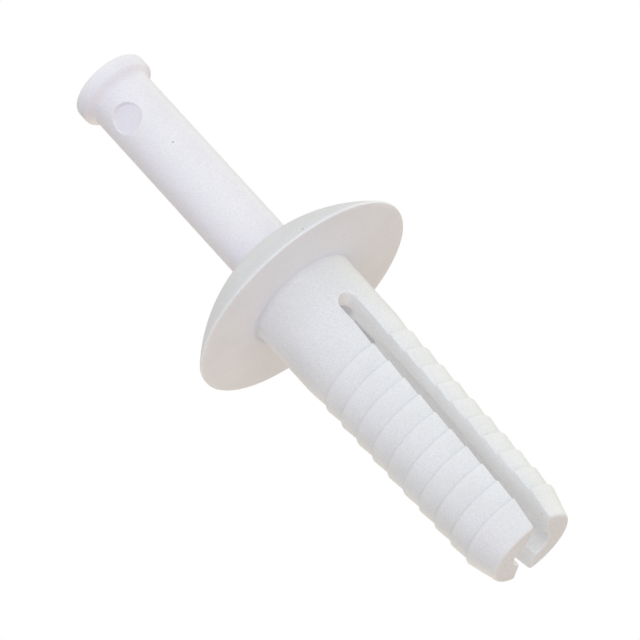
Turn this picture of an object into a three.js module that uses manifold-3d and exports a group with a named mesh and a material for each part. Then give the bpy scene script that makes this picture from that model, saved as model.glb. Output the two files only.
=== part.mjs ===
// Nail-in wall anchor: a moulded nylon body (round domed flange, short collar and two barbed legs)
// and the drive pin that a hammer pushes in to spread the legs.
// Millimetres. +Y points from the flange into the wall, +Z is up, and the slot between the legs
// stands upright in the YZ plane. The origin is the centre of the flange's flat bearing face.
import * as THREE from 'three';
import { mergeVertices } from 'three/addons/utils/BufferGeometryUtils.js';
import Module from 'manifold-3d';

const wasm = await Module();
wasm.setup();

// Flange: flat on the wall side, a spherical dome with a thin rim on the outside.
const flangeRadius = 7.0;
const rimThickness = 0.15;
const domeHeight = 3.33;           // bearing face to where the dome would cross the axis

// Collar and legs, which fit the drilled hole.
const collarRadius = 3.15;
const collarDraft = 0.03;          // loss of radius from the flange to the first barb's crest
const collarRelief = 1.4;          // length of the collar's taper down to the first barb's shoulder
const bodyLength = 19.31;          // bearing face to the flat end of the legs
const slotWidth = 1.14;
const slotStart = 2.4;             // bearing face to the slot's round end
const rootGap = 0.3;               // clearance between the collar and each leg's root
const barbCount = 10;
const firstBarb = 5.81;            // bearing face to the first barb's shoulder
const tipConeLength = 1.82;        // last barb's shoulder to the end of the legs
const barbStep = 0.15;             // height of a barb's shoulder
const lastBarbLoss = 0.1;          // loss of radius from the first barb's crest to the last one's
const tipTaper = 0.5;              // loss of radius from the last barb's crest to the end
const tipEdge = 0.12;              // bevel round the end face

// Drive pin.
const pinRadius = 1.885;
const pinClearance = 0.08;         // all round the pin in its bore
const headOverhang = 0.425;        // head's radius beyond the pin's
const headThickness = 0.92;
const headEdge = 0.26;             // bevel round the head's top
const headCone = 0.36;             // length of the cone under the head
const standOut = 16.5;             // bearing face to the head's underside, as supplied
const noseLength = 3.2;
const noseRadius = 1.0;
const drivenTipInset = 3.5;        // from the driven pin's tip to the end of the legs
const dimpleRadius = 0.92;         // round flat-bottomed mark moulded in the pin's side
const dimpleDepth = 0.28;          // at the mark's centre
const dimpleFromHead = 2.27;       // head's underside to the mark's centre
const dimpleTurn = 50;             // degrees about +Y, from +Z towards +X

// Bore in the legs: as wide as in the collar, then a taper to the tip that the pin spreads.
const boreTaperLength = 9.1;
const tipBoreRadius = 1.2;
const seatGap = 0.05;              // under the head when the pin is fully driven

const segments = 48;
const overrun = 5;                 // how far a cutter runs past what it cuts

const boreRadius = pinRadius + pinClearance;
const headRadius = pinRadius + headOverhang;
const rootPlane = slotStart + slotWidth / 2;         // where the slot reaches its full width
const legStart = rootPlane + rootGap;
const domeSphere = (flangeRadius ** 2 + (domeHeight - rimThickness) ** 2)
  / (2 * (domeHeight - rimThickness));
const seatRadius = headRadius + seatGap;
const seatHeight = domeAt(seatRadius);               // bearing face to the seat's outer edge
const drive = standOut - seatHeight - seatGap;       // full travel of the pin
const pinLength = bodyLength - drivenTipInset - drive + standOut;
const pinTip = pinLength - standOut;

// Height of the dome's surface above the bearing face at a given radius.
function domeAt(radius) {
  return domeHeight - domeSphere + Math.sqrt(domeSphere ** 2 - radius ** 2);
}

// Radius of the collar's tapered outside at a distance y from the bearing face.
function collarAt(y) {
  return collarRadius - collarDraft * y / firstBarb;
}

function solidFrom(geometry) {
  geometry.deleteAttribute('normal');
  geometry.deleteAttribute('uv');
  const welded = mergeVertices(geometry);
  const mesh = new wasm.Mesh({
    numProp: 3,
    vertProperties: new Float32Array(welded.attributes.position.array),
    triVerts: new Uint32Array(welded.index.array),
  });
  return new wasm.Manifold(mesh);
}

// A solid of revolution about Y from [radius, y] points listed in the order that faces outwards.
function turned(points) {
  const profile = points.map(([radius, y]) => new THREE.Vector2(radius, y));
  return solidFrom(new THREE.LatheGeometry(profile, segments));
}

function block(low, high) {
  const size = high.map((value, axis) => value - low[axis]);
  const geometry = new THREE.BoxGeometry(...size);
  geometry.translate(...high.map((value, axis) => (value + low[axis]) / 2));
  return solidFrom(geometry);
}

function geometryFrom(solid) {
  const { vertProperties, triVerts } = solid.getMesh();
  const geometry = new THREE.BufferGeometry();
  geometry.setAttribute('position', new THREE.BufferAttribute(vertProperties, 3));
  geometry.setIndex(new THREE.BufferAttribute(triVerts, 1));
  geometry.computeVertexNormals();
  return geometry;
}

// The slot's outline, round at the flange end, pushed right through the body along Z.
function slotCutter() {
  const half = slotWidth / 2;
  const outline = new THREE.Shape();
  outline.moveTo(half, bodyLength + overrun);
  outline.lineTo(-half, bodyLength + overrun);
  outline.lineTo(-half, rootPlane);
  outline.absarc(0, rootPlane, half, Math.PI, 2 * Math.PI, false);
  outline.closePath();
  const depth = 2 * (collarRadius + overrun);
  const geometry = new THREE.ExtrudeGeometry(outline, { depth, bevelEnabled: false, curveSegments: 16 });
  geometry.translate(0, 0, -depth / 2);
  return solidFrom(geometry);
}

// Flange and collar, with the pin's bore, its seat in the dome and the closed end of the slot.
function flangeCollar() {
  const domePoints = [];
  const domeSteps = 14;
  for (let step = 0; step <= domeSteps; step += 1) {
    const radius = flangeRadius * Math.sin(Math.PI / 2 * step / domeSteps);
    domePoints.push([radius, -domeAt(radius)]);
  }
  const blank = turned([
    ...domePoints,
    [flangeRadius, 0],
    [collarAt(0), 0],
    [collarAt(rootPlane), rootPlane],
    [0, rootPlane],
  ]);
  const bore = turned([
    [0, -domeHeight - overrun],
    [seatRadius, -domeHeight - overrun],
    [seatRadius, -seatHeight],
    [boreRadius, -seatHeight + headCone],
    [boreRadius, rootPlane + overrun],
    [0, rootPlane + overrun],
  ]);
  return blank.subtract(bore).subtract(slotCutter());
}

// Both legs as one barbed, bored ring, before the slot divides it.
function barbedRing() {
  const pitch = (bodyLength - tipConeLength - firstBarb) / (barbCount - 1);
  const firstCrest = collarAt(firstBarb);
  const tipRadius = firstCrest - lastBarbLoss - tipTaper;
  const outside = [
    [collarAt(legStart), legStart],
    [collarAt(firstBarb - collarRelief), firstBarb - collarRelief],
  ];
  for (let barb = 0; barb < barbCount; barb += 1) {
    const shoulder = firstBarb + pitch * barb;
    const crest = firstCrest - lastBarbLoss * barb / (barbCount - 1);
    outside.push([crest - barbStep, shoulder], [crest, shoulder]);
  }
  return turned([
    ...outside,
    [tipRadius, bodyLength - tipEdge],
    [tipRadius - tipEdge, bodyLength],
    [tipBoreRadius, bodyLength],
    [boreRadius, bodyLength - boreTaperLength],
    [boreRadius, legStart],
    [collarAt(legStart), legStart],
  ]);
}

// One leg: the half of the ring on one side of the slot. side is +1 towards +X, -1 towards -X.
function leg(side) {
  const reach = collarRadius + overrun;
  const inner = side * slotWidth / 2;
  const outer = side * reach;
  const half = block(
    [Math.min(inner, outer), legStart - overrun, -reach],
    [Math.max(inner, outer), bodyLength + overrun, reach],
  );
  return barbedRing().intersect(half);
}

function drivePin() {
  const blank = turned([
    [0, -standOut - headThickness],
    [headRadius - headEdge, -standOut - headThickness],
    [headRadius, -standOut - headThickness + headEdge],
    [headRadius, -standOut],
    [pinRadius, -standOut + headCone],
    [pinRadius, pinTip - noseLength],
    [noseRadius, pinTip],
    [0, pinTip],
  ]);
  const cutter = new THREE.CylinderGeometry(dimpleRadius, dimpleRadius, overrun, segments);
  cutter.rotateX(Math.PI / 2);
  cutter.translate(0, 0, pinRadius - dimpleDepth + overrun / 2);
  cutter.rotateY(THREE.MathUtils.degToRad(dimpleTurn));
  cutter.translate(0, dimpleFromHead - standOut, 0);
  return blank.subtract(solidFrom(cutter));
}

function nylon(color, roughness) {
  return new THREE.MeshStandardMaterial({ color, roughness, metalness: 0 });
}

function piece(name, solid, material) {
  const mesh = new THREE.Mesh(geometryFrom(solid), material);
  mesh.name = name;
  return mesh;
}

const anchor = new THREE.Group();
anchor.add(piece('flange_collar', flangeCollar(), nylon(0xe3e4e6, 0.55)));
anchor.add(piece('right_leg', leg(1), nylon(0xe3e4e6, 0.55)));
anchor.add(piece('left_leg', leg(-1), nylon(0xe3e4e6, 0.55)));
anchor.add(piece('drive_pin', drivePin(), nylon(0xecedf3, 0.5)));

export default anchor;
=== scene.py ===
# Nail-in wall anchor in natural nylon, as supplied: the drive pin stands out of the domed flange and
# its tip waits level with the closed end of the slot that parts the two barbed legs.
import math
import bmesh
import bpy
import numpy as np
from mathutils import Matrix, Vector


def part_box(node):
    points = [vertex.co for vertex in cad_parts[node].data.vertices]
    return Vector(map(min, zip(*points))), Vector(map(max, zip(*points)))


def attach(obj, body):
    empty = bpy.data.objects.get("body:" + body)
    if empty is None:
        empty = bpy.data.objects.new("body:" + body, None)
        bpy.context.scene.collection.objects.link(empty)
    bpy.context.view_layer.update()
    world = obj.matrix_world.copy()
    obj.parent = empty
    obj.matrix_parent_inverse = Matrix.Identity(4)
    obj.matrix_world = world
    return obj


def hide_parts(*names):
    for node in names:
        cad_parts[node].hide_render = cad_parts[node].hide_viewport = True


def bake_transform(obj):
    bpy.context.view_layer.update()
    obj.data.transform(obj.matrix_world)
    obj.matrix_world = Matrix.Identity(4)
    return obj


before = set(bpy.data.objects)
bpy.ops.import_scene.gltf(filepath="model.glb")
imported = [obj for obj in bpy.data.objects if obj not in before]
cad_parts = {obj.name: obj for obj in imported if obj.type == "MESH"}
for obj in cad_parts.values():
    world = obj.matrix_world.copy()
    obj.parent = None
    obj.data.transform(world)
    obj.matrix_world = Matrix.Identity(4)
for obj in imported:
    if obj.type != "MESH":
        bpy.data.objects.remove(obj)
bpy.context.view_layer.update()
mm = 0.001
tiny = 0.001 * mm
nearSkin = 0.02 * mm  # a point this near a surface counts as on it
creaseDegrees = 50    # an edge sharper than this is drawn sharp

flangeHigh = np.array(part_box("flange_collar")[1])
legLow, legHigh = (np.array(corner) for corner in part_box("right_leg"))
pinLow, pinHigh = (np.array(corner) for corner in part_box("drive_pin"))
flangeRadius = flangeHigh[0]
bodyEnd = legHigh[1]
slotHalf = legLow[0]
print("frame: flange", round(2 * flangeRadius / mm, 2), "mm across")
print("frame: legs reach", round(bodyEnd / mm, 2), "mm")


# Every corner of a polyline turns into a quadratic arc: between the two points a distance cut back
# along its sides, p(t) = (1-t)^2 start + 2t(1-t) corner + t^2 end.
def softened(points, cuts, steps):
    points = np.asarray(points, float)
    cuts = np.asarray(cuts, float)[:, None]
    before, corner, after = points[:-2], points[1:-1], points[2:]
    back = (before - corner) / np.linalg.norm(before - corner, axis=1, keepdims=True)
    on = (after - corner) / np.linalg.norm(after - corner, axis=1, keepdims=True)
    t = np.linspace(0, 1, steps)[None, :, None]
    start, end = (corner + back * cuts)[:, None], (corner + on * cuts)[:, None]
    arcs = (1 - t) ** 2 * start + 2 * t * (1 - t) * corner[:, None] + t ** 2 * end
    return np.vstack([points[:1], arcs.reshape(-1, 2), points[-1:]])


# Quads of a grid of rows by columns; either way may close on itself.
def gridFaces(rows, columns, closeRows=False, closeColumns=False):
    down = np.arange(rows if closeRows else rows - 1)[:, None]
    along = np.arange(columns if closeColumns else columns - 1)[None, :]
    nextDown, nextAlong = (down + 1) % rows, (along + 1) % columns
    corners = [down * columns + along, down * columns + nextAlong,
               nextDown * columns + nextAlong, nextDown * columns + along]
    return np.stack([np.broadcast_to(c, (down.size, along.size)) for c in corners], -1).reshape(-1, 4)


# A patch inside four edges: the two ruled surfaces added, less the bilinear one (Coons).
def coonsPatch(top, bottom, left, right):
    u = np.linspace(0, 1, len(top))[None, :, None]
    v = np.linspace(0, 1, len(left))[:, None, None]
    ruled = (1 - v) * top[None] + v * bottom[None] + (1 - u) * left[:, None] + u * right[:, None]
    flat = (1 - v) * ((1 - u) * top[0] + u * top[-1]) + v * ((1 - u) * bottom[0] + u * bottom[-1])
    return ruled - flat


# A bell curve, exp(-(distance / width)^2).
def bell(distance, width):
    return np.exp(-(distance / width) ** 2)


# A lobe on the side that faces a turn about Y: cos(angle - turn) to a power, and 0 behind.
def facing(angle, turn, power):
    return np.clip(np.cos(angle - turn), 0, 1) ** power


# Straight lines between pairs of a distance from the bearing face in mm and a value, read at y.
def readAlong(y, pairs):
    distance, value = np.array(pairs).T
    return np.interp(y, distance * mm, value)


# Puts points and quads into a mesh object: doubles merged, faces turned outwards (their signed
# volume is positive), smooth but for edges sharper than the crease angle. The values become
# attributes of its points.
def pieceFrom(name, points, faces, values):
    points = np.ascontiguousarray(points, float).reshape(-1, 3)
    data = bpy.data.meshes.new(name)
    data.vertices.add(len(points))
    data.vertices.foreach_set("co", points.ravel())
    data.loops.add(faces.size)
    data.loops.foreach_set("vertex_index", faces.ravel())
    data.polygons.add(len(faces))
    data.polygons.foreach_set("loop_start", np.arange(0, faces.size, 4))
    for attributeName, numbers in values.items():
        attribute = data.attributes.new(attributeName, "FLOAT", "POINT")
        attribute.data.foreach_set("value", np.asarray(numbers, np.float32).ravel())
    data.update(calc_edges=True)
    welded = bmesh.new()
    welded.from_mesh(data)
    bmesh.ops.remove_doubles(welded, verts=welded.verts, dist=1e-8)
    if welded.calc_volume(signed=True) < 0:
        bmesh.ops.reverse_faces(welded, faces=welded.faces)
    openEdges = sum(not edge.is_manifold for edge in welded.edges)
    print("piece", name, len(welded.faces), "faces,", openEdges, "open edges")
    welded.to_mesh(data)
    welded.free()
    data.shade_smooth()
    data.set_sharp_from_angle(angle=math.radians(creaseDegrees))
    piece = bpy.data.objects.new(name, data)
    bpy.context.scene.collection.objects.link(piece)
    return piece


# One socket of a node tree. + - * on it add Math nodes, and node() adds any other node.
class Wire:
    def __init__(self, tree, socket=None):
        self.tree, self.socket = tree, socket

    def node(self, kind, settings=None, inputs=None, output=0):
        made = self.tree.nodes.new(kind)
        for key, value in (settings or {}).items():
            setattr(made, key, value)
        for key, value in (inputs or {}).items():
            if isinstance(value, Wire):
                self.tree.links.new(value.socket, made.inputs[key])
            else:
                made.inputs[key].default_value = value
        return Wire(self.tree, made.outputs[output] if made.outputs else None)

    def math(self, operation, *others, clamp=False):
        numbers = dict(enumerate((self, *others)))
        return self.node("ShaderNodeMath", {"operation": operation, "use_clamp": clamp}, numbers)

    def vector(self, operation, inputs, output=0):
        return self.node("ShaderNodeVectorMath", {"operation": operation}, {0: self, **inputs}, output)

    # this value, from low to high, mapped smoothly to 0 to 1
    def step(self, low, high):
        inputs = {"Value": self, "From Min": low, "From Max": high}
        return self.node("ShaderNodeMapRange", {"interpolation_type": "SMOOTHSTEP"}, inputs)

    # this value mixes two colours
    def between(self, first, second):
        settings = {"data_type": "RGBA"}
        return self.node("ShaderNodeMix", settings, {0: self, 6: first, 7: second}, output=2)

    def __add__(self, other):
        return self.math("ADD", other)

    def __sub__(self, other):
        return self.math("SUBTRACT", other)

    def __rsub__(self, other):
        return self.node("ShaderNodeMath", {"operation": "SUBTRACT"}, {0: other, 1: self})

    def __mul__(self, other):
        return self.math("MULTIPLY", other)

    __radd__, __rmul__ = __add__, __mul__


# Moulded nylon: a pale body colour that wanders a little between two tints, a fine matte grain,
# dark specks of burnt resin, and by four attributes: whiter scuffs and painted highlights on edges,
# darker painted shade in creases, painted shade in a cooler tone, and a painted glow in place of the
# light that its walls let through.
def nylonMaterial(name, look):
    material = bpy.data.materials.new(name)
    material.use_nodes = True
    tree = material.node_tree
    tree.nodes.clear()
    start = Wire(tree)
    place = start.node("ShaderNodeTexCoord", output=3)    # Object coordinates

    def noise(perMetre, detail, rough=0.5, stretch=(1, 1, 1)):
        at = place.node("ShaderNodeMapping", {}, {"Vector": place, "Scale": stretch})
        return at.node("ShaderNodeTexNoise", {}, {"Vector": at, "Scale": perMetre, "Detail": detail,
                                                  "Roughness": rough})

    clouds = noise(look["cloudScale"], detail=3)
    grain = noise(look["grainScale"], detail=3, rough=0.65)
    ripple = noise(look["rippleScale"], detail=1, rough=0.4, stretch=look["rippleStretch"])
    # attributes of the pieces: whiter scuffs and painted highlights, darker painted shade, painted shade
    # in a cooler tone, painted glow
    wearAndHighlight, darkShade, shade, paintedGlow = (start.node("ShaderNodeAttribute", {"attribute_name": key}, output=2)
                                  for key in ("wearAndHighlight", "darkShade", "shade", "paintedGlow"))
    # specks: a spot at the centre of the few cells whose random red is above the rarity
    cells = {"Vector": place, "Scale": look["speckScale"]}
    spots = place.node("ShaderNodeTexVoronoi", {}, cells)
    cellColor = place.node("ShaderNodeTexVoronoi", {}, cells, output=1)
    chosen = place.node("ShaderNodeSeparateColor", {}, {0: cellColor})
    chosen = chosen.step(look["speckRarity"], look["speckRarity"] + 0.01)
    speck = (1 - spots.step(look["speckSize"] * look["speckCore"], look["speckSize"])) * chosen
    for x, y, z, size in look["pits"]:
        away = place.vector("DISTANCE", {1: (x * mm, y * mm, z * mm)}, 1)
        speck = speck + (1 - away.step(size * look["pitCore"] * mm, size * mm))
    # scratches: how far a point is from the piece of line between two ends
    # whiter where scuffed and where a highlight is painted on an edge
    scuffsAndHighlights = wearAndHighlight * look["wearAndHighlightStrength"]
    for first, second, width in look["scratches"]:
        first, second = np.array(first) * mm, np.array(second) * mm
        run = (second - first) / np.dot(second - first, second - first)
        offset = place.vector("SUBTRACT", {1: tuple(first)})
        share = offset.vector("DOT_PRODUCT", {1: tuple(run)}, 1).math("ADD", 0, clamp=True)
        nearest = start.node("ShaderNodeVectorMath", {"operation": "SCALE"},
                             {0: tuple(second - first), "Scale": share})
        away = offset.vector("DISTANCE", {1: nearest}, 1) + (grain - 0.5) * look["scratchWobble"]
        scuffsAndHighlights = scuffsAndHighlights + (1 - away.step(0, width * mm)) * look["scratchStrength"]

    body = clouds.step(*look["cloudSpan"]).between(look["tintA"], look["tintB"])
    body = (grain.step(*look["grainSpan"]) * look["grainDepth"]).between(body, look["grainColor"])
    # painted shade: a cooler tone by one attribute, a darker one in creases by another
    body = (shade * look["shadeStrength"]).between(body, look["shadeColor"])
    body = (darkShade * look["darkShadeStrength"]).between(body, look["darkShadeColor"])
    body = scuffsAndHighlights.between(body, look["wearAndHighlightColor"])
    body = (speck * look["speckStrength"]).between(body, look["speckColor"])
    rough = look["roughness"] + (grain - 0.5) * look["grainRoughness"] + wearAndHighlight * look["wearRoughness"]

    relief = grain * look["grainHeight"] + ripple * look["rippleHeight"]
    normal = relief.node("ShaderNodeBump", {}, {"Height": relief, "Strength": 1.0, "Distance": 1.0})
    shader = start.node("ShaderNodeBsdfPrincipled", {}, {
        "Base Color": body, "Roughness": rough, "Normal": normal,
        "IOR": look["ior"], "Specular IOR Level": look["specular"],
        # a painted glow in place of the light that the walls let through
        "Emission Color": paintedGlow.between((0, 0, 0, 1), look["paintedGlowColor"]),
        "Emission Strength": look["paintedGlowStrength"]})
    start.node("ShaderNodeOutputMaterial", {}, {"Surface": shader})
    return material


anchorLook = {
    "tintA": (0.765, 0.765, 0.758, 1), "tintB": (0.795, 0.795, 0.795, 1),
    "grainColor": (0.62, 0.62, 0.615, 1), "grainDepth": 0.6,
    # whiter for scuffs and for painted highlights
    "wearAndHighlightColor": (0.82, 0.82, 0.82, 1), "wearAndHighlightStrength": 0.43,
    "scratchStrength": 0.5, "scratchWobble": 0.06 * mm,
    "speckColor": (0.28, 0.26, 0.23, 1), "speckStrength": 0.75,
    "speckScale": 300, "speckSize": 0.035, "speckRarity": 0.93,
    "speckCore": 0.5, "pitCore": 0.4,     # share of the radius that is dark throughout
    # patterns a metre, and the span of each noise that goes from one colour to the other
    "cloudScale": 420, "grainScale": 11000, "rippleScale": 700, "rippleStretch": (1, 0.45, 1),
    "cloudSpan": (0.35, 0.65), "grainSpan": (0.3, 0.75),
    "grainHeight": 0.009 * mm, "rippleHeight": 0.02 * mm,
    "roughness": 0.52, "grainRoughness": 0.16, "wearRoughness": 0.06,
    "specular": 0.35, "ior": 1.53,
    # painted shade in two tones, and the painted glow
    "shadeColor": (0.66, 0.70, 0.77, 1), "shadeStrength": 0.7,
    "darkShadeColor": (0.44, 0.44, 0.48, 1), "darkShadeStrength": 0.5,
    "paintedGlowColor": (0.97, 0.985, 0.98, 1), "paintedGlowStrength": 0.2,
    # burnt specks as x, y, z and radius, scratches as two ends and a width, in mm
    "pits": [(1.38, -0.33, 6.70, 0.09), (-1.82, 0, 4.36, 0.06), (-0.57, 18.74, 2.10, 0.06),
             (1.90, 19.31, -0.11, 0.06), (2.35, 19.31, -0.6, 0.04)],
    "scratches": [((5.37, 0, 0.23), (3.98, 0, -0.03), 0.05)],
}
pinLook = {
    **anchorLook,
    "tintA": (0.80, 0.777, 0.795, 1), "tintB": (0.82, 0.797, 0.815, 1),
    "grainColor": (0.67, 0.65, 0.675, 1), "wearAndHighlightColor": (0.86, 0.85, 0.86, 1),
    "rippleStretch": (1, 0.15, 1), "roughness": 0.46,
    # painted shade on the pin in a more violet tone
    "shadeColor": (0.68, 0.65, 0.75, 1), "shadeStrength": 0.28,
    "pits": [(0.59, -11.25, 1.79, 0.075), (-1.2, -5.1, 1.45, 0.04)],
    "scratches": [((0.4, -6.2, 1.84), (0.75, -4.9, 1.73), 0.03)],
}
anchorNylon = nylonMaterial("anchorNylon", anchorLook)
pinNylon = nylonMaterial("pinNylon", pinLook)
print("materials made")


flangeShape = {
    "domeHeight": 3.33 * mm,      # bearing face to where the dome would cross the axis
    "rimThickness": 0.15 * mm,
    "collarRadius": 3.15 * mm,
    "collarDraft": 0.03 * mm,     # loss of radius to the first barb
    "boreRadius": 1.965 * mm,
    "seatRadius": 2.36 * mm,      # mouth of the cone that the pin's head sinks into
    "seatCone": 0.36 * mm,
    "slotStart": 2.4 * mm,
    # rounded corners, each as a length cut from its two sides
    "domeRound": 0.03 * mm,       # dome to rim
    "rimRound": 0.07 * mm,        # rim to bearing face
    "rootFillet": 0.12 * mm,      # bearing face to collar
    "boreRound": 0.1 * mm,        # bore to cone
    "seatRound": 0.02 * mm,       # cone to dome
    # the grid
    "around": 384,
    "domeRings": 70,
    "domeInset": (0.05 * mm, 0.04 * mm),    # how far its rings stop short of the seat and the rim
    "gridGap": 0.25 * mm,
    # painted highlight along the rim, painted shade in the collar's foot and on the dome's edge
    "rimHighlight": 0.7,
    "rimHighlightWidth": 0.13 * mm,
    "footCreaseShade": 0.6,
    "footCreaseShadeWidth": 0.12 * mm,
    "domeEdgeShade": 0.35,
    "domeEdgeShadeRun": (5.3 * mm, 6.4 * mm),   # radii where it begins and is full
    # painted shade in a cooler tone round the collar's foot and on one side
    "footShadeRun": 0.9 * mm,     # it falls off as exp(-distance / run)
    "coolShare": 0.55,
    "coolRun": (4 * mm, 5.5 * mm),
    "coolTurn": math.radians(25),
    # a painted glow in place of light through the walls: the bore as pairs of a distance from the
    # bearing face in mm and a share
    "boreGlow": [(1.9, 0.0), (2.3, 0.8)],
    "discSideGlow": 0.25,             # painted light on one side of the disc, beyond the collar's foot by thinStart
    "thinStart": 0.2 * mm,
    "thinTurn": math.radians(127),
    # painted light on one side of the dome
    "domeGlow": 0.2,
    "domeTurn": math.radians(-60),
}
barbShape = {
    "count": 10,
    "first": 5.81 * mm,           # bearing face to the first shoulder
    "tipCone": 1.82 * mm,         # last shoulder to the end
    "step": 0.15 * mm,
    "lean": 0.05 * mm,            # how far a shoulder leans along the axis
    "crestRound": 0.05 * mm,
    "footRound": 0.03 * mm,
    "loss": 0.1 * mm,             # loss of radius from the first crest to the last
    "relief": 1.4 * mm,           # collar's taper down to the first foot
    "tipTaper": 0.5 * mm,
    "tipRound": 0.14 * mm,
    "taperRound": 0.3 * mm,       # where the collar's taper begins
    "boreTaper": 9.1 * mm,        # length of the bore's taper, up to the end
    "tipBore": 1.2 * mm,
    "mouthRound": 0.07 * mm,      # along the slot's edges
    "closedRound": (0.003 * mm, 0.3),   # its bound at the closed end: this and a share of the half-width
    "tipDraw": (1, 0.5, 0.6),     # shares by which the end's rounding draws back the skin, slot and bore
    "stationGap": 0.16 * mm,
    # whiter along each crest, and a painted dark line of shade at each barb's foot
    "crestWhitening": 0.55,
    "crestWhiteningWidth": 0.05 * mm,
    "footCreaseShade": 0.25,
    "footCreaseShadeWidth": 0.06 * mm,
    # the barbs aren't quite true: sines as waves round the barrel and radians along it for each mm
    "waves": [(9, 1.7), (-23, 2.9), (47, 4.3)],
    "waveHeight": 0.008 * mm,
    "waveSkin": (2.3 * mm, 2.6 * mm),   # radii between which they grow to full strength
    # a painted glow in place of the light through the walls, and painted shade on the slot's lip, as
    # pairs of a distance from the bearing face in mm and a share; innerBottom's pairs give the lit
    # part's half-height in mm
    "innerFace": [(2.4, 0.22), (9, 0.22), (13, 0.08), (16, 0.0)],
    "innerEdge": [(8, 0.0), (13, 0.3), (16, 0.42), (17.5, 0.32)],
    "innerBore": [(2.4, 0.7), (3.9, 0.48), (5.4, 0.25), (7.4, 0.15), (10.4, 0.13), (15, 0.1)],
    "innerBottom": [(2.4, 0.60), (4.1, 0.60), (4.5, 3.0)],
    "lipShade": [(2.4, 0.15), (3.1, 0.4), (3.6, 1.0), (4.15, 1.0), (4.35, 0.0)],
    "innerUnder": 0.25,           # on the slot's faces below the axis
    "innerFade": 0.08 * mm,
    "edgeFrom": 1.8 * mm,         # height where innerEdge begins
    "underRun": (0.3 * mm, -0.3 * mm),    # heights between which the faces turn to innerUnder
    "lipHeight": 1.2 * mm,        # the lip's painted shade stops here
}


# Radius of the collar's outside at a height y above the bearing face: a straight draft.
def collarAt(y):
    return flangeShape["collarRadius"] - flangeShape["collarDraft"] * y / barbShape["first"]


# Radius of the legs' bore at a height y: as wide as the collar's, then a straight taper to the tip.
def boreAt(y):
    taper = [bodyEnd - barbShape["boreTaper"], bodyEnd]
    return np.interp(y, taper, [flangeShape["boreRadius"], barbShape["tipBore"]])


# Flange and collar: a spherical dome, y = s - h - sqrt(s^2 - r^2) with s its radius and h its height,
# a rim, the flat bearing face, the collar and the bore with its cone. The closed outline is turned
# about Y: (r sin a, y, r cos a), with a all the way round.
def makeFlangeCollar(shape):
    rise = shape["domeHeight"] - shape["rimThickness"]
    sphere = (flangeRadius ** 2 + rise ** 2) / (2 * rise)
    inset, outset = shape["domeInset"]
    radius = np.linspace(shape["seatRadius"] + inset, flangeRadius - outset, shape["domeRings"])
    dome = np.stack([radius, sphere - shape["domeHeight"] - np.sqrt(sphere ** 2 - radius ** 2)], -1)
    seatTop = sphere - shape["domeHeight"] - math.sqrt(sphere ** 2 - shape["seatRadius"] ** 2)
    collarEnd = shape["slotStart"]
    corners = [
        dome[-1],
        (flangeRadius, -shape["rimThickness"]),
        (flangeRadius, 0),
        (collarAt(0), 0),
        (collarAt(collarEnd), collarEnd),
        (shape["boreRadius"], collarEnd),
        (shape["boreRadius"], seatTop + shape["seatCone"]),
        (shape["seatRadius"], seatTop),
        dome[0],
    ]
    cuts = [shape["domeRound"], shape["rimRound"], shape["rootFillet"], tiny, tiny,
            shape["boreRound"], shape["seatRound"]]
    edge = softened(corners, cuts, 7)
    outline = np.vstack([dome, edge[1:-1]])
    # long straight runs get points in between, so that the surface shades evenly
    gap = np.linalg.norm(np.diff(outline, axis=0, append=outline[:1]), axis=1)
    splits = np.maximum(1, np.ceil(gap / shape["gridGap"])).astype(int)
    where = np.repeat(np.arange(len(outline)), splits)
    share = np.concatenate([np.arange(n) / n for n in splits])[:, None]
    following = np.roll(outline, -1, axis=0)
    outline = outline[where] * (1 - share) + following[where] * share
    radius, height = outline[:, :1], outline[:, 1:]
    angle = np.linspace(0, 2 * np.pi, shape["around"], endpoint=False)[None, :]
    points = np.stack([radius * np.sin(angle), height + 0 * angle, radius * np.cos(angle)], -1)
    faces = gridFaces(len(outline), shape["around"], closeRows=True, closeColumns=True)

    # zones of the skin
    belowFace = height < nearSkin
    outside = (radius > collarAt(collarEnd) - tiny) & (height > -tiny)
    disc = (radius > collarAt(0) + shape["thinStart"]) & belowFace
    onDome = height < -0.3 * shape["rimThickness"]
    inBore = (radius < shape["boreRadius"] + tiny) & (height > 0)
    fromRim = np.hypot(radius - flangeRadius, height)
    fromFoot = np.hypot(radius - collarAt(0), height)
    cool = facing(angle, shape["coolTurn"], 3)
    coolPart = np.interp(radius, shape["coolRun"], [0, 1]) * cool
    domeShadedPart = onDome * np.interp(radius, shape["domeEdgeShadeRun"], [0, 1]) * cool

    # painted shade round the collar's foot and on one side, a painted dark line in the foot and on the
    # dome's edge, painted glow in the bore and on one side of the disc and dome
    footShade = np.exp(-fromFoot / shape["footShadeRun"])
    footCreaseShade = outside * shape["footCreaseShade"] * bell(fromFoot, shape["footCreaseShadeWidth"])
    glow = shape["discSideGlow"] * facing(angle, shape["thinTurn"], 2)
    glow = glow + shape["domeGlow"] * onDome * facing(angle, shape["domeTurn"], 2)
    values = {
        "wearAndHighlight": shape["rimHighlight"] * bell(fromRim, shape["rimHighlightWidth"]) + 0 * angle,
        "shade": (outside & belowFace) * (footShade + shape["coolShare"] * coolPart),
        "darkShade": footCreaseShade + shape["domeEdgeShade"] * domeShadedPart,
        "paintedGlow": disc * glow + inBore * readAlong(height, shape["boreGlow"]),
    }
    return pieceFrom("flangeCollar", points, faces, values)


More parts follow.
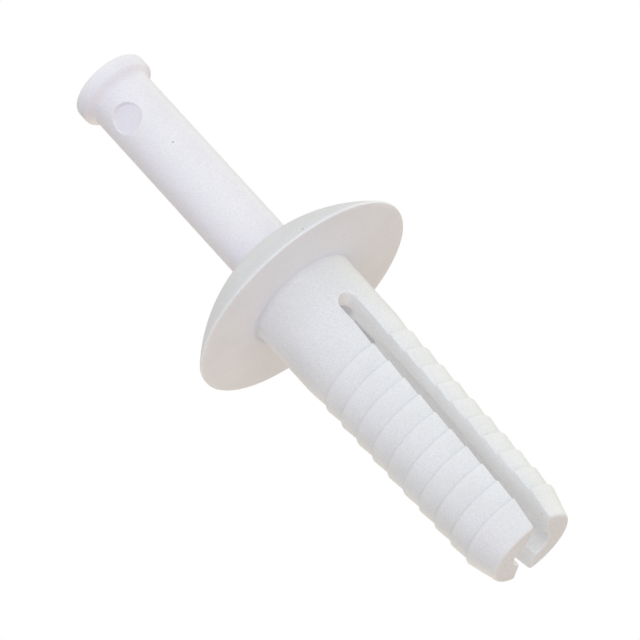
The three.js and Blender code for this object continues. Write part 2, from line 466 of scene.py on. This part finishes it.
# Outside of the barbed barrel as (y, radius): the collar, its taper, ten shoulders and ramps, the
# tip cone. Corners are softened; y only grows, so np.interp reads it.
def barrelOutline(shape):
    shoulders = np.linspace(shape["first"], bodyEnd - shape["tipCone"], shape["count"])
    crests = collarAt(shape["first"]) - shape["loss"] * np.linspace(0, 1, shape["count"])
    feet = np.stack([shoulders - shape["lean"], crests - shape["step"]], -1)
    tops = np.stack([shoulders, crests], -1)
    barbs = np.stack([feet, tops], 1).reshape(-1, 2)
    taper = shape["first"] - shape["relief"]
    points = np.vstack([
        [(flangeShape["slotStart"], collarAt(flangeShape["slotStart"])), (taper, collarAt(taper))],
        barbs,
        [(bodyEnd, crests[-1] - shape["tipTaper"])],
    ])
    cuts = np.tile([shape["footRound"], shape["crestRound"]], shape["count"])
    return softened(points, np.concatenate([[shape["taperRound"]], cuts]), 5)


# The leg's section at each station, for half-width w, outer radius R, bore radius b, edge round e:
# an arc of R, a fillet to the slot's face at x = w, the face, a fillet to the bore, an arc of b,
# and the same mirrored. One row of points per station.
def legSections(y, outer, bore, half, edge, side):
    outer, bore, half, edge = (value[:, None] for value in (outer, bore, half, edge))
    across = half + edge
    topZ = np.sqrt((outer - edge) ** 2 - across ** 2)
    lowZ = np.sqrt((bore + edge) ** 2 - across ** 2)
    topAngle, lowAngle = np.arctan2(topZ, across), np.arctan2(lowZ, across)
    arc = np.linspace(0, 1, 73)[None, :]
    bend = np.linspace(0, 1, 6)[None, :]
    flat = np.linspace(0, 1, 12)[None, 1:-1]

    def circle(centreX, centreZ, radius, angle):
        return np.stack([centreX + radius * np.cos(angle), centreZ + radius * np.sin(angle)], -1)

    outerArc = circle(0, 0, outer, topAngle * (2 * arc - 1))
    topFillet = circle(across, topZ, edge, topAngle + (np.pi - topAngle) * bend)
    face = np.stack([half + 0 * flat, topZ + (lowZ - topZ) * flat], -1)
    lowFillet = circle(across, lowZ, edge, np.pi + lowAngle * bend)
    boreArc = circle(0, 0, bore, lowAngle * (1 - 2 * arc))
    sideRun = np.concatenate([topFillet[:, 1:], face, lowFillet[:, :-1]], 1)
    mirrored = sideRun[:, ::-1] * np.array([1, -1])
    loop = np.concatenate([outerArc, sideRun, boreArc, mirrored], 1)
    height = np.broadcast_to(y[:, None], loop.shape[:2])
    counts = outerArc.shape[1], sideRun.shape[1]
    return np.stack([side * loop[..., 0], height, loop[..., 1]], -1), counts


# A flat lid over one end section: a Coons patch between its outer arc, its bore arc and its sides.
def lidOver(loop, counts):
    arcCount, sideCount = counts
    top = loop[:arcCount]
    right = loop[arcCount - 1:arcCount + sideCount + 1]
    bottom = loop[arcCount + sideCount:2 * arcCount + sideCount][::-1]
    left = np.vstack([loop[:1], loop[2 * arcCount + sideCount:][::-1], bottom[:1]])
    return coonsPatch(top, bottom, left, right)


# Two values at each point of a leg. A painted glow in place of the light that comes through the walls:
# on the slot's faces one share, another below the axis, more at the upper edges towards the tip; in the
# bore a share that changes along y and fades out beyond the lit part's half-height. And painted shade on
# the lip in the bore, which begins where that glow fades out.
def paintedGlowAndLipShade(points, shape):
    x, y, z = np.abs(points).T
    height = points[:, 2]
    inBore = (np.hypot(x, z) < boreAt(y) + nearSkin) & (x > slotHalf + 0.5 * shape["mouthRound"])
    onFace = x < slotHalf + 0.25 * shape["mouthRound"]
    lit = np.clip((readAlong(y, shape["innerBottom"]) * mm - z) / shape["innerFade"], 0, 1)
    upper = np.clip((height - shape["edgeFrom"]) / mm, 0, 1)
    above = readAlong(y, shape["innerFace"]) + readAlong(y, shape["innerEdge"]) * upper
    top, bottom = shape["underRun"]
    under = np.clip((top - height) / (top - bottom), 0, 1)
    face = above + (shape["innerUnder"] - above) * under
    paintedGlow = np.where(inBore, lit * readAlong(y, shape["innerBore"]), face * onFace)
    lipShading = inBore * (1 - lit) * (z < shape["lipHeight"]) * readAlong(y, shape["lipShade"])
    return paintedGlow, lipShading


# How far each point of a leg slips along y: the waves' sum of sin(n a + k y), with a its turn about Y.
# It fades out below the skin, over 1 mm before the first shoulder and from 2 to 1 mm before the end.
def barbWander(points, shape):
    x, y, z = points.T
    turn = np.arctan2(x, z)
    waves = sum(np.sin(number * turn + lean * y / mm) for number, lean in shape["waves"])
    reach = [shape["first"] - mm, shape["first"], bodyEnd - 2 * mm, bodyEnd - mm]
    ends = np.interp(y, reach, [0, 1, 1, 0])
    skin = np.interp(np.hypot(x, z), shape["waveSkin"], [0, 1])
    return shape["waveHeight"] * waves * ends * skin


# One leg: its section at every station along y, walls between the stations, and a lid at each end.
# The slot's half-width follows a circle at its closed end, sqrt(h^2 - (root - y)^2). At the tip a
# quarter turn draws each face of the section back by its share of 1 - cos.
def makeLeg(name, side, shape):
    outline = barrelOutline(shape)
    root = flangeShape["slotStart"] + slotHalf
    roundStart = bodyEnd - shape["tipRound"]
    # the circle's stations begin just past its top, where the slot has no width yet
    rootY = root - slotHalf * np.cos(np.linspace(0.03, np.pi / 2, 20))
    plain = np.arange(root, roundStart, shape["stationGap"])
    shaped = outline[(outline[:, 0] > root) & (outline[:, 0] < roundStart), 0]
    y = np.unique(np.concatenate([rootY, plain, shaped]).round(8))
    half = np.where(y < root, np.sqrt(np.clip(slotHalf ** 2 - (root - y) ** 2, 0, None)), slotHalf)
    least, share = shape["closedRound"]
    edge = np.minimum(shape["mouthRound"], least + share * half)

    turn = np.linspace(0, np.pi / 2, 9)
    back = shape["tipRound"] * (1 - np.cos(turn))
    skinDraw, slotDraw, boreDraw = shape["tipDraw"]
    unmoved = 0 * y
    y = np.concatenate([y, bodyEnd - shape["tipRound"] * (1 - np.sin(turn))])
    outer = np.interp(y, *outline.T) - np.concatenate([unmoved, skinDraw * back])
    bore = boreAt(y) + np.concatenate([unmoved, boreDraw * back])
    half = np.concatenate([half, slotHalf + slotDraw * back])
    edge = np.concatenate([edge, np.full(len(turn), shape["mouthRound"])])

    loops, counts = legSections(y, outer, bore, half, edge, side)
    stations, around = loops.shape[:2]
    points, faces = [loops.reshape(-1, 3)], [gridFaces(stations, around, closeColumns=True)]
    for end, flip in ((0, False), (-1, True)):
        lid = lidOver(loops[end], counts)
        quads = gridFaces(*lid.shape[:2]) + sum(len(p) for p in points)
        faces.append(quads[:, ::-1] if flip else quads)
        points.append(lid.reshape(-1, 3))
    points = np.vstack(points)

    radius, height = np.hypot(points[:, 0], points[:, 2]), points[:, 1]
    outside = radius > np.interp(height, *outline.T) - nearSkin
    barbed = (height - shape["first"]) / (bodyEnd - shape["first"])
    crest = collarAt(shape["first"]) - shape["loss"] * barbed
    onCrest = (barbed > 0) * bell(crest - radius, shape["crestWhiteningWidth"])
    shoulders = np.linspace(shape["first"], bodyEnd - shape["tipCone"], shape["count"])
    fromFoot = np.abs(height[:, None] - shoulders + 1.5 * shape["lean"]).min(1)
    paintedGlow, lipShading = paintedGlowAndLipShade(points, shape)
    # whiter crests; painted shade at the barbs' feet and on the lip; painted glow on the slot's faces
    # and in the bore
    values = {
        "wearAndHighlight": shape["crestWhitening"] * onCrest * outside,
        "darkShade": shape["footCreaseShade"] * bell(fromFoot, shape["footCreaseShadeWidth"]) * outside + lipShading,
        "paintedGlow": paintedGlow,
    }
    points[:, 1] += barbWander(points, shape)
    return pieceFrom(name, points, np.vstack(faces), values)


pinShape = {
    "radius": 1.885 * mm,
    "headThickness": 0.92 * mm,
    "headCone": 0.36 * mm,
    "noseLength": 3.2 * mm,
    "noseRadius": 1.0 * mm,
    "markRadius": 0.92 * mm,
    "markDepth": 0.28 * mm,           # at its centre
    "markWall": 0.05,                 # width of its wall, in radii
    "markFromHead": 2.27 * mm,
    "markTurn": math.radians(50),     # about +Y, from +Z towards +X
    # rounded corners: the head's top and underside, the cone's end, the nose's start and its tip
    "cuts": [0.3 * mm, 0.1 * mm, 0.15 * mm, 0.3 * mm, 0.2 * mm],
    # the grid, finer round the mark
    "gridGap": 0.2 * mm,
    "fineLength": 1.06 * mm,          # each way from the mark's centre
    "fineTurn": 0.56,
    "fineCount": 110,
    "coarseCount": 170,
    # a painted highlight on the head's edge, and painted shade in a cooler tone in the mark, under the
    # head and where the pin goes into the dome
    "headHighlightWidth": 0.35 * mm,
    "markShade": 0.8,
    "headShade": 0.35,
    "headShadeAt": 0.1 * mm,          # from the head's underside
    "headShadeWidth": 0.55 * mm,
    "headCreaseShade": 0.12,
    "domeShade": -3.2 * mm,
    "domeShadeWidth": 0.9 * mm,
}


# The pin as a surface of revolution, r(y) turned about Y, less the round mark in its side: within the
# mark's radius of its centre r is (r - depth) / cos(turn away from the centre), a flat floor, and the
# wall round it goes as 3s^2 - 2s^3.
def makePin(shape):
    top, tip, headRadius = pinLow[1], pinHigh[1], pinHigh[0]
    under = top + shape["headThickness"]
    corners = [
        (0, top),
        (headRadius, top),
        (headRadius, under),
        (shape["radius"], under + shape["headCone"]),
        (shape["radius"], tip - shape["noseLength"]),
        (shape["noseRadius"], tip),
        (0, tip),
    ]
    outline = softened(corners, shape["cuts"], 8)
    markY = under + shape["markFromHead"]
    length = np.concatenate([[0], np.cumsum(np.linalg.norm(np.diff(outline, axis=0), axis=1))])
    # the first points, on the head's flat top, share one height and are left out
    markAlong = np.interp(markY, outline[4:, 1], length[4:])
    fine = markAlong + np.linspace(-shape["fineLength"], shape["fineLength"], shape["fineCount"])
    plain = np.arange(0, length[-1], shape["gridGap"])
    stations = np.unique(np.concatenate([length, fine, plain]).round(9))
    radius = np.interp(stations, length, outline[:, 0])[:, None]
    height = np.interp(stations, length, outline[:, 1])[:, None]
    fineStart, fineEnd = shape["markTurn"] - shape["fineTurn"], shape["markTurn"] + shape["fineTurn"]
    angle = np.concatenate([
        np.linspace(fineStart, fineEnd, shape["fineCount"], endpoint=False),
        np.linspace(fineEnd, fineStart + 2 * np.pi, shape["coarseCount"], endpoint=False),
    ])[None, :]

    turned = angle - shape["markTurn"]
    away = np.hypot(shape["radius"] * np.sin(turned), height - markY) / shape["markRadius"]
    ahead = np.clip(np.cos(turned), 0.5, 1)
    floor = np.minimum(radius, (shape["radius"] - shape["markDepth"]) / ahead)
    inside = np.clip((1 - away) / shape["markWall"] * (ahead > 0.5), 0, 1)
    inside = inside ** 2 * (3 - 2 * inside)
    side = radius + (floor - radius) * inside
    points = np.stack([side * np.sin(angle), height + 0 * angle, side * np.cos(angle)], -1)
    faces = gridFaces(len(stations), angle.size, closeColumns=True)

    onEdge = radius > headRadius - shape["cuts"][0]
    underHead = bell(height - under - shape["headShadeAt"], shape["headShadeWidth"]) + 0 * angle
    nearDome = bell(height - shape["domeShade"], shape["domeShadeWidth"])
    # a painted highlight on the head's edge; painted shade in the mark, under the head and by the dome
    values = {
        "wearAndHighlight": bell(height - top, shape["headHighlightWidth"]) * onEdge + 0 * angle,
        "shade": shape["headShade"] * underHead + shape["markShade"] * inside + nearDome,
        "darkShade": shape["headCreaseShade"] * underHead ** 8,
    }
    return pieceFrom("drivePin", points, faces, values)


flangePiece = makeFlangeCollar(flangeShape)
rightLeg = makeLeg("rightLeg", 1, barbShape)
leftLeg = makeLeg("leftLeg", -1, barbShape)
pinPiece = makePin(pinShape)

for piece in (flangePiece, rightLeg, leftLeg):
    piece.data.materials.append(anchorNylon)
pinPiece.data.materials.append(pinNylon)

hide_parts("flange_collar")
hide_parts("right_leg")
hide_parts("left_leg")
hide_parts("drive_pin")
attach(flangePiece, "anchor_body")
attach(pinPiece, "pin")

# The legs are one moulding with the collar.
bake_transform(rightLeg)
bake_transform(leftLeg)
print("pieces placed")


studio = {
    "floorDepth": 45 * mm,
    "floorSize": 4.0,
    "above": (0.855, 0.906, 0.966, 1),
    "below": (0.394, 0.338, 0.240, 1),
    "strength": 1.0,
    "fillSpread": math.radians(40),
    # each fill lamp: the way it shines from, its brightness on a white card, its colour
    "fills": [
        ((0, 0, 1), 0.20, (0.965, 0.955, 1.0)),
        ((0, 0, -1), 0.205, (1.0, 0.959, 0.735)),
        ((1, 0, 0), 0.18, (0.75, 0.76, 1.0)),
        ((-1, 0, 0), 0.19, (1.0, 0.98, 0.70)),
        ((0, 1, 0), 0.178, (1.0, 0.68, 0.64)),
        ((-0.15, -0.85, 0.5), 0.09, (1.0, 0.98, 0.72)),
    ],
}


# The floor: a flat square grid at z = -depth, in paper that shines an even white.
def makeFloor(setup):
    half, depth = setup["floorSize"] / 2, setup["floorDepth"]
    across = np.linspace(-half, half, 9)
    x, y = np.meshgrid(across, across)
    points = np.stack([x, y, 0 * x - depth], -1)
    data = bpy.data.meshes.new("floor")
    data.from_pydata(points.reshape(-1, 3).tolist(), [], gridFaces(9, 9).tolist())
    floor = bpy.data.objects.new("floor", data)
    bpy.context.scene.collection.objects.link(floor)
    paper = bpy.data.materials.new("floorPaper")
    paper.use_nodes = True
    paper.node_tree.nodes.clear()
    start = Wire(paper.node_tree)
    glow = start.node("ShaderNodeEmission", {}, {"Color": (1, 1, 1, 1), "Strength": 1.0})
    start.node("ShaderNodeOutputMaterial", {}, {"Surface": glow})
    data.materials.append(paper)
    # the paper is only seen: the world lights the object from below in its place
    floor.visible_diffuse = False
    floor.visible_glossy = False
    floor.visible_shadow = False


# The studio tent: one radiance overhead, another from below, a straight change with height between.
def makeWorld(setup):
    world = bpy.data.worlds.new("studioTent")
    world.use_nodes = True
    world.node_tree.nodes.clear()
    bpy.context.scene.world = world
    start = Wire(world.node_tree)
    towards = start.node("ShaderNodeTexCoord", output=0)
    height = towards.node("ShaderNodeSeparateXYZ", {}, {0: towards}, output=2)
    tint = (height * 0.5 + 0.5).between(setup["below"], setup["above"])
    tent = start.node("ShaderNodeBackground", {}, {"Color": tint, "Strength": setup["strength"]})
    start.node("ShaderNodeOutputWorld", {}, {"Surface": tent})


# Lamps without shadows round the object, so the slot and the bore get the light that real nylon lets
# through its walls. A lamp of energy pi gives a white card that faces it a brightness of 1.
def makeFills(setup):
    for number, (towards, brightness, color) in enumerate(setup["fills"]):
        lamp = bpy.data.lights.new("fill" + str(number), "SUN")
        lamp.energy, lamp.color, lamp.angle = math.pi * brightness, color, setup["fillSpread"]
        lamp.use_shadow = False
        lamp.specular_factor = 0
        holder = bpy.data.objects.new(lamp.name, lamp)
        holder.rotation_euler = (-Vector(towards)).to_track_quat("-Z", "Y").to_euler()
        bpy.context.scene.collection.objects.link(holder)


cameraView = {
    "place": (0.12561, 0.09546, 0.19703),
    "right": (-0.7585, 0.6248, 0.1854),
    "up": (-0.4201, -0.6861, 0.5941),
    "lens": 262,
    "sensor": 36,
}


# The camera: its matrix's columns are right, up and back, which is right x up, and its place.
def makeCamera(setup):
    lens = bpy.data.cameras.new("camera")
    lens.lens, lens.sensor_width = setup["lens"], setup["sensor"]
    lens.clip_start, lens.clip_end = 0.01, 20
    camera = bpy.data.objects.new("camera", lens)
    right, up = Vector(setup["right"]).normalized(), Vector(setup["up"]).normalized()
    back = right.cross(up)
    turn = Matrix((right, up, back)).transposed().to_4x4()
    camera.matrix_world = Matrix.Translation(setup["place"]) @ turn
    bpy.context.scene.collection.objects.link(camera)
    bpy.context.scene.camera = camera


makeFloor(studio)
makeWorld(studio)
makeFills(studio)
makeCamera(cameraView)
bpy.context.scene.view_settings.view_transform = "Standard"
print("studio set")
